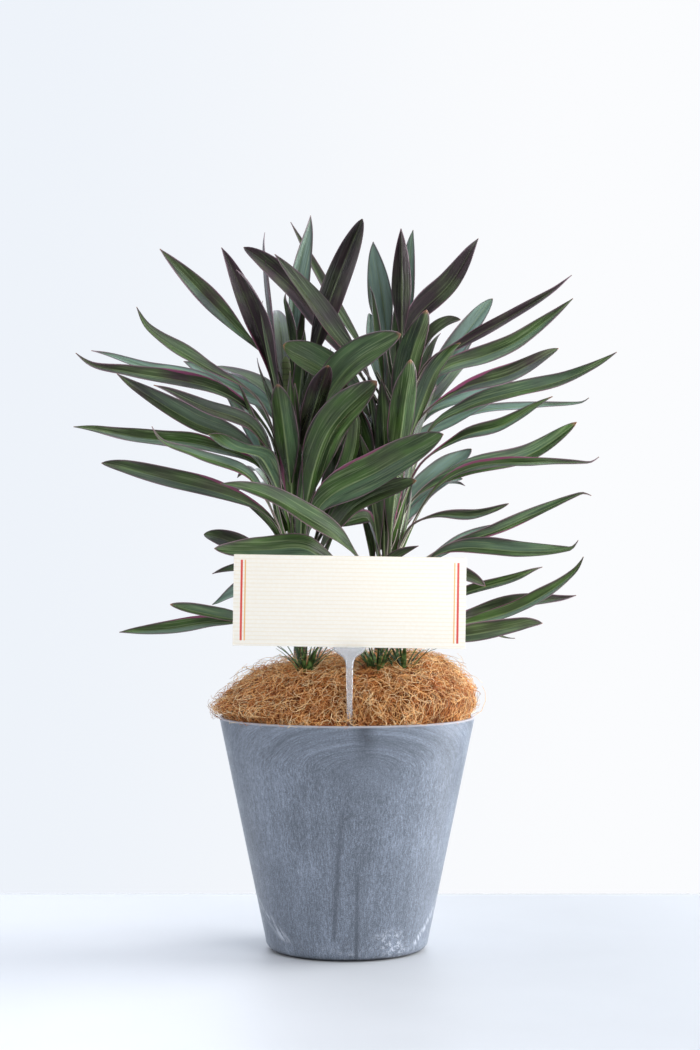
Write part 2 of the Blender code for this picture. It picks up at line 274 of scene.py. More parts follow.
leaf = {
    "thickness": 0.5 * mm,
    "columns": (-1, -0.95, -0.8, -0.57, -0.3, -0.07, 0, 0.07, 0.3, 0.57, 0.8, 0.95, 1),
    "rows": 36,
    "petioleWidth": 8.5 * mm,
    "tipWidth": 1 * mm,
    "sheath": 6 * mm,                 # how much wider the petiole is where it clasps the cane
    "lean": 0.45,                     # how far a petiole leans out as it leaves its cane
    "reach": 0.8,
    "foldBase": 66, "foldBlade": 24,  # degrees, at the petiole and in the blade
    "rib": 0.5 * mm,
    "gap": 0.3 * mm,
    "outer": 20 * cm,                 # a leaf that ends this far to one side is an outer one, painted lighter and given more painted sheen; inner ones are painted darker as shade
}

cane = {
    "low": 180 * mm, "high": 690 * mm,
    "left": (-46 * mm, -72 * mm), "right": (28 * mm, 64 * mm),
    "radiusLow": 9 * mm, "radiusHigh": 5 * mm,
    "foot": 300 * mm, "sides": 20, "rings": 56,
    "swell": (0.97, 1.07),            # the bark's rings are narrow and wide by turns
    "top": (1.2 * mm, 5 * mm),        # its radius, and how far it stands above the last ring
}

# each leaf, in cm and degrees: root height on its cane, width, roll, look, midrib points to the tip
leavesLeft = [
    (36.8, 2.4, 52, "green pink", (-15, 1, 38.2), (-21.7, 1.5, 37.4), (-27, 2, 37)),
    (37.6, 2.2, 52, "green brown blunt", (-13, -3, 38.8), (-20.5, -4, 40.4)),
    (40.5, 2.9, 60, "dark blunt", (-12, 4, 46.7), (-17.3, 6, 48.7)),
    (41.5, 4.9, -80, "green pink blunt", (-3.4, -6, 51.6), (3.4, -10, 55.8), (10.8, -15, 59.6)),
    (43.2, 3, 67, "dark pink blunt", (-8.4, -3, 49.9), (-12.5, -4, 52.7), (-20.2, -5, 54.9),
     (-28.2, -6, 56.9)),
    (44.6, 1.7, 62, "green pink", (-10.9, -6, 55), (-17.4, -8, 57.8), (-20.8, -9, 59), (-22.3, -9, 60.7)),
    (46, 4.6, 37, "green brown blunt", (-2.6, -8, 59.5), (3.3, -14, 65.6)),
    (47, 2.8, 57, "green pink", (-10, 1, 56.2), (-16.5, 1, 59.1), (-25.3, 1, 60.2), (-32.3, 1, 61.5)),
    (48, 3.6, -10, "green blunt", (-9.5, -7, 57.2), (-12.8, -11, 58.4), (-15.3, -15, 60)),
    (49, 3.3, 69, "dark", (-11.5, -1, 58.7), (-18.2, -2, 62), (-26.8, -4, 67)),
    (50.2, 3.2, 0, "green brown blunt", (-7, -7, 59.6), (-7.8, -12, 65.4)),
    (51.2, 2.1, 77, "dark brown", (-10.5, -6, 60.7), (-16.4, -8, 63.2), (-21.7, -10, 65.6)),
    (52.4, 2.4, 57, "dark pink", (-9.3, -1, 60.7), (-14.8, -1, 65.4), (-25.5, -2, 67.6), (-29.6, -2, 68.3),
     (-31.7, -2, 69.7)),
    (54, 2, 47, "teal", (-15.4, 5, 66.2), (-25, 6, 69), (-30.9, 7, 71)),
    (55, 2.6, 57, "dark stalked", (-10.3, -2, 64.2), (-16.9, -3, 68.5), (-22.9, -4, 72.4), (-24.2, -4, 75)),
    (56, 4.6, -85, "green brown blunt", (-1, -8, 66.7), (6.1, -13, 70.9)),
    (58.5, 3.3, 72, "dark stalked", (-8, 1, 67.3), (-12.8, 1, 72.7), (-22.2, 2, 82.4)),
    (60, 2.3, 52, "purple", (-9.4, -4, 73.3), (-12.4, -7, 79)),
    (61.2, 2.9, 72, "purple pink", (-10.1, 0, 71.7), (-14.7, 0, 82.4)),
    (62.4, 3.3, 67, "purple blunt", (-1.8, -3, 76.3), (1.8, -4, 85.1)),
    (63.6, 2.4, -52, "purple", (-9.4, 3, 76.9), (-10.1, 4, 84.6)),
    (65, 3.1, -60, "teal", (-6, 5.5, 78), (-4.2, 7, 87.1)),
    (44, 3.2, 0, "green", (-9, 12, 54), (-15, 24, 54)),
    (54.6, 3.2, 0, "green", (-10, 10, 66), (-18, 19, 70)),
]
leavesRight = [
    (35.9, 2.7, -57, "dark blunt", (13, -5.5, 36.9), (22.2, -8, 38.7)),
    (36.8, 2.6, -52, "green", (13.9, -3, 38.3), (18.9, -4, 39.7), (23.4, -5, 42.1), (26.2, -5, 44.2),
     (27.5, -5, 45.8)),
    (37.6, 2.6, -52, "dark", (14, 4, 38.7), (20, 4.5, 40.3), (27.4, 5, 41)),
    (38.6, 3.6, 57, "green blunt", (-4, -8, 46.8), (-9.5, -9.5, 46.9), (-15, -10, 46.7)),
    (39.8, 2.8, -52, "green pink", (9.8, -3, 45.8), (13.5, -4, 47.1), (20, -6, 46.7), (25.4, -7, 46.9),
     (26.2, -7, 48)),
    (40.8, 3.3, 65, "green", (-0.4, -9, 47.8), (-5, -12.5, 51), (-9, -13.5, 53.1), (-13.9, -15, 54.4)),
    (41.8, 2, -47, "green pink", (10.9, -1, 46.7), (17.2, -2, 49), (24.1, -2, 52), (27.3, -2, 53.2),
     (28.3, -2, 52.8)),
    (43, 1.7, -52, "green blunt stalked", (7.2, -3, 49.2), (10.2, -4, 50.7), (14.8, -5, 50.8),
     (18.7, -5, 52)),
    (44.2, 1.7, -47, "green pink", (9.8, -2, 53.3), (14.5, -2, 56.4), (22, -3, 57), (28, -3, 57),
     (29.1, -3, 57.8)),
    (45.4, 2.9, -62, "green brown blunt", (7.6, 1, 52.4), (13.5, 1, 56), (21.5, 2, 58.1), (27.2, 2, 61.9)),
    (47.8, 2.5, -60, "green pink brown stalked", (8.2, -4, 56.2), (13, -6, 59.7), (18.2, -7, 61.3),
     (23.3, -8, 64.5)),
    (49.4, 1.7, -49, "teal", (10, 3, 60.6), (15, 4, 63.2), (23, 6, 64.1), (28, 6, 64.4), (29.1, 6, 65)),
    (50.4, 3.4, -10, "green brown blunt", (6.4, -9, 62.9), (7.2, -14, 67.7)),
    (51.2, 2.7, -59, "green", (9.8, 0, 60.9), (14, 0, 63.6), (17.5, 0, 64.9), (25.3, 0, 66.8),
     (31.8, 0, 69.8)),
    (53, 2.9, -66, "dark pink blunt stalked", (8.2, -3, 61.6), (13, -4, 65.3), (18.9, -6, 67.1),
     (24.3, -6, 70.1)),
    (54.2, 2.8, 0, "green brown blunt", (9.6, -6, 66.6), (12.8, -10, 70.4)),
    (55.6, 3.5, 5, "dark brown blunt", (7, -7.5, 68), (9, -12.5, 73.4)),
    (56.6, 2.7, -62, "green", (8.3, 0, 65.4), (11.8, 1, 68.3), (16.8, 2, 70), (20.6, 2, 71.8),
     (26.8, 2, 76.5)),
    (57.6, 4.9, 80, "green brown blunt", (-0.5, -2.5, 66.3), (-7.6, -7, 70.1)),
    (58.8, 3, -52, "teal blunt", (12.4, 4, 70), (17.5, 6, 77)),
    (60, 1.8, -55, "purple", (9, -1, 68.1), (13.4, -2, 70.8), (23.9, -3, 76.9), (25.9, -3, 79)),
    (61, 3.4, 67, "purple blunt", (-5.2, 2, 76.6), (-12.3, 3, 82.9)),
    (62, 3.5, 75, "dark pink", (-2.4, -5.5, 73.4), (-8.2, -9, 80.4)),
    (63.2, 2, 10, "dark", (-2, 7.5, 77.4), (-6.9, 10, 86.7)),
    (64.4, 3.3, -77, "purple", (7.4, -1, 73), (12.2, -1, 78.3), (15.3, -1, 83.4)),
    (65.6, 3.3, 62, "teal", (4, 2, 77), (3, 4, 83.6)),
    (67, 2.6, 0, "purple", (6.4, -1.6, 76), (6.3, -2.5, 84.2)),
    (43.6, 2.8, 0, "green", (10, 13, 54), (15, 22, 55)),
    (52, 3.2, 0, "green", (2, 13, 64), (-3, 24, 66)),
]
# smaller leaves between the main ones, which stand in front of or behind them
extrasLeft = [
    (38.5, 3.2, 50, "teal", (-11, 4, 42.3), (-16.1, 6, 40)),
    (39.5, 1.6, 52, "green", (-11, -5, 44.5), (-15.5, -6, 44.1)),
    (50, 2.5, 57, "teal", (-10.5, 5, 60), (-14.6, 10, 65.2)),
    (57, 3.1, 62, "teal", (-9.5, 4, 63.8), (-14, 5, 66.4), (-19.8, 7, 69.6)),
    (66, 2.6, 0, "dark", (-6.5, 0.5, 71.5), (-7.6, 0, 76.9)),
    (41, 3.4, -70, "dark brown blunt", (0, -7.6, 51.2), (7.9, -11.5, 54.5)),
    (55, 3, 0, "purple brown blunt", (-3.5, -8, 64), (-2.1, -13, 67.4)),
    (48.6, 1.6, 0, "green", (-6.4, -5, 60), (-6.5, -8, 67)),
    (45.5, 3, 0, "green", (-10, 12, 56), (-14, 22, 56)),
    (51, 3, 0, "green", (-4, 13, 63), (-2, 23, 64)),
    (55.5, 2.8, 0, "dark", (-13, 9, 67), (-20, 17, 68)),
    (59, 2.8, 0, "dark", (-8, 10, 73), (-9, 17, 77)),
    (39.5, 2.8, 0, "green", (-8, 11, 47), (-10, 20, 46)),
    (42.5, 2.8, 0, "green", (-4.5, -3.5, 54), (-3.5, -6, 61.5)),
    (44.2, 3.6, -60, "green", (0.2, 2, 54.4), (3.4, 5, 61.5)),
    (43.8, 2.6, -30, "green", (-2, 1.5, 54), (-0.8, 4, 62)),
    (45.2, 2.8, 0, "green pink", (-6.5, -3.5, 57), (-6, -5, 66)),
    (46.7, 2.6, 0, "dark", (-9.5, -1.5, 58), (-13, -1, 67)),
    (48.2, 2.8, 0, "green", (-4, -1.5, 60), (-1.5, -2, 68)),
    (49.7, 2.8, 0, "dark", (-7.5, 3, 62), (-9, 8, 71)),
    (52.2, 2.8, 0, "dark", (-5, 4, 64), (-3, 8, 73)),
    (40, 2, 50, "green", (-8.2, -2, 48.6), (-13.5, -3, 53.6)),
    (47, 3.4, 0, "green blunt", (0.2, -4, 57), (1.1, -6.5, 62.6)),
]
extrasRight = [
    (66.5, 2.4, 0, "teal", (7.2, 3, 79), (7.8, 4, 85)),
    (63, 2.8, -62, "dark blunt", (9.4, -4, 71.2), (12.7, -7, 73.4)),
    (57, 2.8, -37, "teal", (9, 4, 66.5), (12, 6, 69), (15.2, 8, 71.7)),
    (53.6, 2.8, -37, "teal", (9, 4, 62.5), (14, 6, 65), (20.3, 8, 67)),
    (47, 3.4, -37, "teal blunt", (8, 5, 53), (11.5, 7, 56.3), (15.1, 9, 58.7)),
    (45.6, 3.2, -50, "teal blunt", (8.4, 7, 53.2), (11.6, 9, 55.4), (13.9, 10, 55)),
    (41, 1.8, -47, "teal", (13, 3, 47.5), (20.1, 4, 50)),
    (38.5, 2.5, -47, "dark blunt", (11, -6, 44.1), (15.8, -8, 42.8)),
    (38.2, 1.9, -47, "green", (14, 2, 41.7), (20, 1, 43.5), (23, 1, 44.9)),
    (35.6, 0.8, -47, "green", (13, 2, 37.5), (19.8, 3, 35.9)),
    (43.6, 1.9, 60, "green pink blunt", (2.6, -4, 50.4), (1, -5, 50.3), (-0.9, -6, 49.5)),
    (49, 2.8, 0, "green", (6, 13, 58), (6, 24, 60)),
    (53.4, 2.8, 0, "green", (0, 11, 66), (-4, 21, 68)),
    (56, 2.8, 0, "dark", (13, 9, 68), (17, 19, 71)),
    (45, 3, 0, "green", (8, 14, 54), (9, 24, 53)),
    (60, 2.6, 0, "dark", (8, 9, 73), (10, 18, 79)),
    (41.2, 3, 0, "green", (5, 12, 48), (3, 22, 46)),
    (61.8, 3.6, 0, "teal blunt", (3.4, 2.5, 69), (2.8, 3, 74.9)),
    (46.8, 3.6, 47, "dark", (1.4, 1, 57.4), (-2.6, 2, 65.4)),
    (37.5, 2.6, -60, "dark", (4, -5, 44.3), (8.2, -8, 47.2)),
    (42, 2.8, 0, "green", (3, -3.5, 53), (1.5, -6, 60)),
    (43.4, 2.6, 0, "green pink", (5.5, -4, 54), (7, -6, 61.5)),
    (45.2, 3, 0, "green", (4.5, -3, 57), (4, -4, 66.5)),
    (46.4, 2.6, 0, "dark", (7.5, -2, 58), (10.5, -2, 66)),
    (48.2, 2.8, 0, "green", (2, -2, 60), (-1.5, -3, 68)),
    (50, 2.8, 0, "dark", (5, 4, 63), (5, 9, 72)),
    (52.6, 2.6, 0, "dark", (8, 3, 65), (11, 6, 73)),
    (46.5, 2.2, -50, "teal", (8.5, 1, 59.5), (12.5, 2, 62), (17.5, 3, 64.5)),
]

sheaths = {"count": 13, "low": 37.3, "high": 63.5}

# purple share, partly the leaf's own purple and partly painted shade on leaves whose shaded side faces the
# viewer; strength of the pink margin, dry tip; paleness, a painted sheen of reflected light
lookValues = {
    "green": (0.12, 0.3, 0.15, 0),
    "dark": (0.5, 0.35, 0.15, 0),
    "purple": (0.95, 0.25, 0.05, 0),
    "teal": (0.02, 0.1, 0.15, 0.75),
}


def caneCentre(side, height):
    low, high = cane[side]
    return Vector((low + (high - low) * (height - cane["low"]) / (cane["high"] - cane["low"]), 0, height))


def caneRadius(height):
    share = (height - cane["low"]) / (cane["high"] - cane["low"])
    return cane["radiusLow"] + (cane["radiusHigh"] - cane["radiusLow"]) * share


def midrib(side, rootHeight, points):
    # a smooth path from the cane through the given points, as places and slopes
    centre = caneCentre(side, rootHeight)
    first = Vector(points[0]) * cm
    heading = Vector((first.x - centre.x, first.y, 0)).normalized()
    out = caneRadius(rootHeight) + 0.5 * mm + 1.2 * leaf["gap"]
    points = [centre + heading * out] + [Vector(p) * cm for p in points]
    spans = [(end - start).length for start, end in zip(points, points[1:])]
    places = [sum(spans[:count]) / sum(spans) for count in range(len(points))]
    leave = (heading * leaf["lean"] + Vector((0, 0, 1))).normalized()
    slopes = [leave * sum(spans) * leaf["reach"]]
    for i in range(1, len(points) - 1):
        slopes.append((points[i + 1] - points[i - 1]) / (places[i + 1] - places[i - 1]))
    last = (points[-1] - points[-2]) / (places[-1] - places[-2])
    slopes.append(last * 1.5 - slopes[-1] / 2)
    return points, places, slopes, sum(spans)


def alongMidrib(points, places, slopes, u):
    i = max(n for n in range(len(points) - 1) if places[n] <= u)
    span = places[i + 1] - places[i]
    t = (u - places[i]) / span
    start, end = points[i], points[i + 1]
    leave, arrive = slopes[i] * span, slopes[i + 1] * span
    point = (start * (2 * t**3 - 3 * t**2 + 1) + leave * (t**3 - 2 * t**2 + t)
             + end * (3 * t**2 - 2 * t**3) + arrive * (t**3 - t**2))
    heading = ((start - end) * (6 * t**2 - 6 * t) + leave * (3 * t**2 - 4 * t + 1)
               + arrive * (3 * t**2 - 2 * t))
    return point, heading.normalized()


def bladeWidth(u, words):
    # a strap: opens out of the petiole, keeps its width, then closes to a point
    opening = smooth((u - (0.36 if "stalked" in words else 0.18)) / 0.42)
    t = min(max((u - 0.58) / 0.42, 0), 1)
    closing = (1 - 0.3 * t * t) * (1 - t ** 4.2) ** 0.62 if "blunt" in words else (1 - t ** 1.9) ** 0.88
    return (0.06 + 0.94 * opening) * closing


def modelStrip():
    # one flat strip, wide as its columns and long as its rows, that every leaf starts from
    selectOnly(None)
    bpy.ops.mesh.primitive_grid_add(x_subdivisions=len(leaf["columns"]) - 1, y_subdivisions=leaf["rows"],
                                    size=2, location=(0, 0, 0))
    strip = newest("leafStrip")
    half = (len(leaf["columns"]) - 1) / 2
    for vertex in strip.data.vertices:
        column = round((vertex.co.x + 1) * half)
        vertex.co.x = leaf["columns"][column]
        along = (vertex.co.y + 1) / 2
        vertex.co.y = along * (1.45 - 0.45 * along)    # rows closer together at the tip
    return strip


def makeLeaf(name, strip, side, spec, replaced=()):
    rootHeight, width, roll, look, *points = spec
    rng = random.Random(name)
    words = look.split()
    purple, pink, dry, pale = lookValues[words[0]]
    pink = 1.0 if "pink" in words else pink
    dry = 1.0 if "brown" in words else dry
    purple = min(max(purple + rng.uniform(-0.08, 0.1), 0), 1)
    points, places, slopes, length = midrib(side, rootHeight * cm, points)
    chord = points[-1] - points[0]
    sideways = Vector((-chord.y, chord.x, 0)).normalized()
    wave = rng.uniform(0.2, 0.9) * mm
    waveLength = rng.uniform(60, 110) * mm
    phases = (rng.uniform(0, 6.3), rng.uniform(0, 6.3))
    twist = radians(rng.uniform(-9, 9))
    cup = rng.uniform(-0.10, 0.16)
    hook = rng.uniform(-6, 5) * mm
    pinkSide, pinkPlace = rng.choice((-1, 1)), rng.uniform(0.36, 0.66)
    spread = min(abs(points[-1].x) / leaf["outer"], 1)
    # outer leaves get a painted sheen: a pale band of reflected light painted along one half of the blade
    halfSheen = rng.uniform(0.1, 0.5) * spread * (1 - purple)

    obj = copyOf(strip, name)
    mesh = obj.data
    marks = mesh.attributes.new("leafMarks", "FLOAT_COLOR", "POINT")
    shares = mesh.attributes.new("leafShares", "FLOAT_COLOR", "POINT")
    flat = {}
    seed = rng.random()
    for vertex in mesh.vertices:
        a, u = vertex.co.x, vertex.co.y
        point, tangent = alongMidrib(points, places, slopes, min(u, 0.99999))
        normal = tangent.cross(sideways).normalized()
        level = normal.cross(tangent)
        turn = radians(roll) * smooth(u / 0.45) + twist * sin(pi * u)
        acrossAxis = level * cos(turn) - normal * sin(turn)
        upAxis = normal * cos(turn) + level * sin(turn)
        blade = bladeWidth(u, words)
        stalk = leaf["petioleWidth"] * (1 - 0.6 * smooth(u)) + leaf["sheath"] * (1 - smooth(u / 0.12))
        half = max(width * cm * blade, min(stalk, width * 6 * mm) * (1 - u), leaf["tipWidth"]) / 2
        fold = radians(leaf["foldBlade"] + (leaf["foldBase"] - leaf["foldBlade"]) * (1 - u) ** 4)
        lean = fold * (0.72 + 0.28 * abs(a))
        rise = (abs(a) * sin(lean) - 0.5 * sin(fold)) * half
        rise += cup * half * blade * (a * a - 0.4)
        phase = phases[0] if a < 0 else phases[1]
        rise += wave * abs(a) ** 2.2 * blade * sin(tau * u * length / waveLength + phase)
        rise += hook * max((u - 0.9) / 0.1, 0) ** 2
        rise -= leaf["rib"] * exp(-(a * half / (0.8 * mm)) ** 2) * smooth((1 - u) / 0.3)
        vertex.co = point + acrossAxis * a * half * cos(lean) + upAxis * rise
        pinkHere = pink * exp(-((u - pinkPlace) / 0.17) ** 2) if a * pinkSide > 0 else 0
        marks.data[vertex.index].color = (purple, u, min((1 - abs(a)) * half / (10 * mm), 1), pinkHere)
        sheen = halfSheen * smooth(u / 0.5) * (1 - smooth((u - 0.75) / 0.25)) if a * pinkSide < 0 else 0
        shares.data[vertex.index].color = (dry, min(pale + sheen, 1), seed, spread)
        flat[vertex.index] = (a * half / (100 * mm), u * length / (100 * mm))
    layer = mesh.uv_layers.active
    for loop in mesh.loops:
        layer.data[loop.index].uv = flat[loop.vertex_index]
    mesh.materials.append(leafUpper)
    mesh.materials.append(leafUnder)
    applyModifier(obj, "SOLIDIFY", thickness=leaf["thickness"], offset=0, use_even_offset=False,
                  material_offset=1, material_offset_rim=0)
    return finishPiece(obj, replaced, angle=60)


def leafMaterial(name, greens, purples, rib, petiole, veinShare, roughness):
    # cuticle over a living blade: one unit of the UV map is 100 mm, the first coordinate across
    material, add = newMaterial(name)
    uv = add(("UVMap", {"uv_map": "UVMap"}))
    split = add("SeparateXYZ", uv)
    marks = add(("Attribute", {"attribute_name": "leafMarks"}))
    mark = add("SeparateColor", marks.outputs["Color"])
    purple, along, edge = mark.outputs[0], mark.outputs[1], mark.outputs[2]
    pink = marks.outputs["Alpha"]
    shares = add(("Attribute", {"attribute_name": "leafShares"}))
    share = add("SeparateColor", shares.outputs["Color"])
    dry, pale, seed = share.outputs[0], share.outputs[1], share.outputs[2]

    # long soft streaks, about 8 mm wide and 90 mm long, different on each leaf
    place = add("CombineXYZ", split.outputs["X"], split.outputs["Y"], add(times, seed, 40))
    stretch = add("Mapping", {"Vector": place, "Scale": (12, 1.1, 1)})
    streak = add("TexNoise", stretch, 1, 3)
    streaks = add("MapRange", streak, 0.36, 0.64)
    green = add(blend, streaks, greens[0], greens[1])
    violet = add(blend, streaks, purples[0], purples[1])
    cloud = add("TexNoise", place, 2.2, 2)
    cloudy = add("MapRange", cloud, 0.3, 0.7, -0.3, 0.4)
    # the purple share turns a leaf purple-black: partly its own purple, partly painted shade for leaves whose
    # shaded side faces the viewer
    toned = add(plusClamped, purple, cloudy)
    body = add(blend, toned, green, violet)
    # painted sheen: teal leaves, and the band on outer leaves, are painted pale grey-green for reflected
    # light
    uneven = add("MapRange", streak, 0.35, 0.65, 0.5, 1.15)
    body = add(blend, add(times, pale, uneven), body, "#8ba8a0")

    # parallel veins run the length of the blade; real ones are 0.8 mm apart, drawn at 1.7 mm to show
    grain = add("Mapping", {"Vector": place, "Scale": (60, 1.5, 1)})
    vein = add("TexNoise", grain, 1, 2)
    clearer = add("MapRange", toned, 0, 1, veinShare, 0.1 * veinShare)
    veins = add(softRange, vein, 0.5, 0.68, 0, clearer)
    body = add(blend, veins, body, rib)

    # the midrib is a soft pale line about 1.6 mm wide that fades towards the tip
    line = add(softRange, add(distance, split.outputs["X"]), 0.004, 0.012, 1, 0)
    fade = add("MapRange", along, 0.3, 0.95, 0.8, 0.2)
    quiet = add("MapRange", toned, 0, 1, 1, 0.35)
    body = add(blend, add(times, add(times, line, fade), quiet), body, rib)

    # the petiole is a fresher green
    stalk = add(softRange, along, 0.08, 0.42, 1, 0)
    body = add(blend, add(times, stalk, 0.75), body, petiole)

    # a mauve flush 1 to 6 mm deep along the margin, and one magenta stretch up to 5 mm wide on it
    patch = add("TexNoise", place, 1.7, 3)
    flushWide = add("MapRange", patch, 0.35, 0.65, 0.12, 0.65)
    flush = add(softRange, edge, 0, flushWide, 0.75, 0)
    body = add(blend, flush, body, "#402e39")
    ragged = add("MapRange", cloud, 0.35, 0.65, 0.1, 0.55)
    reach = add(timesPlus, ragged, pink, 0.001)
    strong = add("MapRange", pink, 0.08, 0.5, 0, 0.85)
    margin = add(softRange, edge, add(times, reach, 0.6), reach, strong, 0)
    body = add(blend, margin, body, "#8f4468")
    # a thin rim: along the channelled petiole a pale edge painted near white, partly its own pale margin and
    # partly a painted highlight; dull mauve round the blade
    rim = add(softRange, edge, 0.05, 0.12, 1, 0)
    blotted = add("MapRange", patch, 0.4, 0.6, 0.1, 0.6)
    rimClear = add("MapRange", stalk, 0, 1, blotted, 1)
    # painted highlight: the near white tone along the petiole edges
    rimTone = add(blend, stalk, "#a3848f", "#e0d6c6")
    body = add(blend, add(times, rim, rimClear), body, rimTone)

    # the tip dries out to tan
    tipStart = add("MapRange", dry, 0, 1, 0.997, 0.972)
    tip = add(softRange, along, tipStart, 1, 0, 0.9)
    body = add(blend, tip, body, "#94694c")

    # no two leaves are of one age: some are a third darker than others at random; the inner ones are painted
    # darker still, as painted shade inside the plant, and the outer ones lighter
    grown = add("MapRange", seed, 0, 1, 0.85, 1.25)
    # painted shade: leaves near the middle of the plant are darkened, outer ones lightened
    inner = add("MapRange", shares.outputs["Alpha"], 0, 1, 0.62, 1.1)
    ageAndShade = add(times, grown, inner)
    shaded = add("CombineColor", ageAndShade, ageAndShade, ageAndShade)
    body = add(("Mix", {"data_type": "RGBA", "blend_type": "MULTIPLY"}), 1, body, shaded)

    rough = add("MapRange", streak, 0.3, 0.7, roughness - 0.07, roughness + 0.07)
    bump = add("Bump", {"Height": add(plus, vein, streak), "Strength": 0.7, "Distance": 0.9 * mm})
    shader = add("BsdfPrincipled", {"Base Color": body, "Roughness": rough, "IOR": 1.4, "Normal": bump})
    add("OutputMaterial", shader)
    return material


# living ti leaf, waxy above: deep green under a cool sheen
leafUpper = leafMaterial("waxyLeafUpperSide", ("#21360f", "#466728"), ("#171012", "#38282c"),
                         "#a3b582", "#4d6f30", 0.3, 0.3)
# the same leaf from below: greyer, with the veins and the midrib standing out
leafUnder = leafMaterial("mattLeafUnderside", ("#2a4217", "#507034"), ("#201718", "#3e2d33"),
                         "#98aa7c", "#5a783a", 0.38, 0.42)

leafStrip = modelStrip()
for side, table in (("left", leavesLeft), ("right", leavesRight)):
    for number, spec in enumerate(table, 1):
        makeLeaf(f"blade_{side}_{number:02d}", leafStrip, side, spec, [f"leaf_{side}_{number:02d}"])
for side, table in (("left", extrasLeft), ("right", extrasRight)):
    for number, spec in enumerate(table, 1):
        makeLeaf(f"smallBlade_{side}_{number:02d}", leafStrip, side, spec)
# young narrow leaves stand close round each cane between the big ones, a golden angle apart
for side in ("left", "right"):
    for number in range(sheaths["count"]):
        rng = random.Random(f"{side} sheath {number}")
        heading = number * radians(137.5) + rng.uniform(-0.3, 0.3)
        root = sheaths["low"] + (sheaths["high"] - sheaths["low"]) * number / sheaths["count"]
        outward = Vector((cos(heading), sin(heading), 0))
        foot = caneCentre(side, root * cm) / cm
        middle = foot + outward * rng.uniform(1.7, 2.4) + Vector((0, 0, rng.uniform(6, 8)))
        end = foot + outward * rng.uniform(3.2, 5.5) + Vector((0, 0, rng.uniform(13, 17)))
        look = rng.choice(("green", "green", "green pink", "dark"))
        makeLeaf(f"sheathBlade_{side}_{number + 1:02d}", leafStrip, side,
                 (root, rng.uniform(1.4, 1.9), 0, look, tuple(middle), tuple(end)))
bpy.data.objects.remove(leafStrip)
print("leaves done")


# ---- canes

def caneMaterial():
    # ti cane: grey-brown bark, ringed by old leaf scars about 7 mm apart, green where it is young
    material, add = newMaterial("ringedCaneBark")
    coords = add("TexCoord").outputs["Object"]
    split = add("SeparateXYZ", coords)
    grain = add("Mapping", {"Vector": coords, "Scale": (420, 420, 60)})
    fleck = add("TexNoise", grain, 1, 4)
    flecks = add("MapRange", fleck, 0.35, 0.65)
    bark = add(blend, flecks, "#463f30", "#6f6450")
    young = add(softRange, split.outputs["Z"], 0.36, 0.48)
    body = add(blend, young, bark, "#5f6b3f")
    wander = add("MapRange", fleck, 0, 1, -0.0008, 0.0008)
    height = add(plus, split.outputs["Z"], wander)
    ring = add(sine, add(times, height, tau / (7 * mm)))
    scar = add("MapRange", ring, 0.8, 1, 0, 0.7)
    body = add(blend, scar, body, "#3b3226")
    bump = add("Bump", {"Height": scar, "Strength": 0.6, "Distance": 0.5 * mm})
    add("OutputMaterial", add("BsdfPrincipled", {"Base Color": body, "Roughness": 0.7, "Normal": bump}))
    return material


def makeCane(side):
    rings = []
    for n in range(cane["rings"] + 1):
        height = cane["foot"] + (cane["high"] - cane["foot"]) * n / cane["rings"]
        rings.append((caneRadius(height) * cane["swell"][n % 2], caneCentre(side, height)))
    topRadius, topRise = cane["top"]
    rings.append((topRadius, caneCentre(side, cane["high"] + topRise)))
    obj = extrudeRings("caneStem_" + side, cane["sides"], rings)
    return finishPiece(obj, ["cane_" + side], angle=35, material=caneBark)


tuft = {
    # side, place of the foot in cm, how far the foot spreads in cm, number of blades
    "places": (("left", (-4.9, -8, 32.9), 1.2, 38), ("middle", (3.4, -8.6, 32.7), 1.3, 34),
               ("right", (6.4, -8, 33.3), 1.4, 22)),
    "columns": 2, "rows": 7, "width": 2.6 * mm,
}


def makeTuft(name, foot, spread, count):
    # short grassy shoots at the foot of a cane, one small strip bent for each
    rng = random.Random(name)
    foot = Vector(foot) * cm
    blades = []
    for number in range(count):
        selectOnly(None)
        bpy.ops.mesh.primitive_grid_add(x_subdivisions=tuft["columns"], y_subdivisions=tuft["rows"], size=2,
                                        location=(0, 0, 0))
        obj = newest(f"{name}_{number}")
        turn = rng.uniform(0, tau)
        heading = Vector((cos(turn), sin(turn), 0))
        sideways = Vector((-heading.y, heading.x, 0))
        start = foot + heading * rng.uniform(0, spread) * cm
        length, lean = rng.uniform(30, 60) * mm, rng.uniform(0.2, 0.95)
        droop = rng.uniform(0.1, 0.6)
        width = tuft["width"] * rng.uniform(0.6, 1.2)
        for vertex in obj.data.vertices:
            a, u = vertex.co.x, (vertex.co.y + 1) / 2
            half = width / 2 * (1 - u ** 2.5) + 0.2 * mm
            place = start + heading * length * u * lean + Vector((0, 0, length * (u - droop * u * u)))
            vertex.co = place + sideways * a * half + Vector((0, 0, 0.35 * half * abs(a)))
        blades.append(obj)
    selectOnly(None)
    for obj in blades:
        obj.select_set(True)
    bpy.context.view_layer.objects.active = blades[0]
    bpy.ops.object.join()
    obj = newest(name)
    obj.data.materials.append(shootMaterial)
    applyModifier(obj, "SOLIDIFY", thickness=0.4 * mm, offset=0)
    return finishPiece(obj, angle=60)


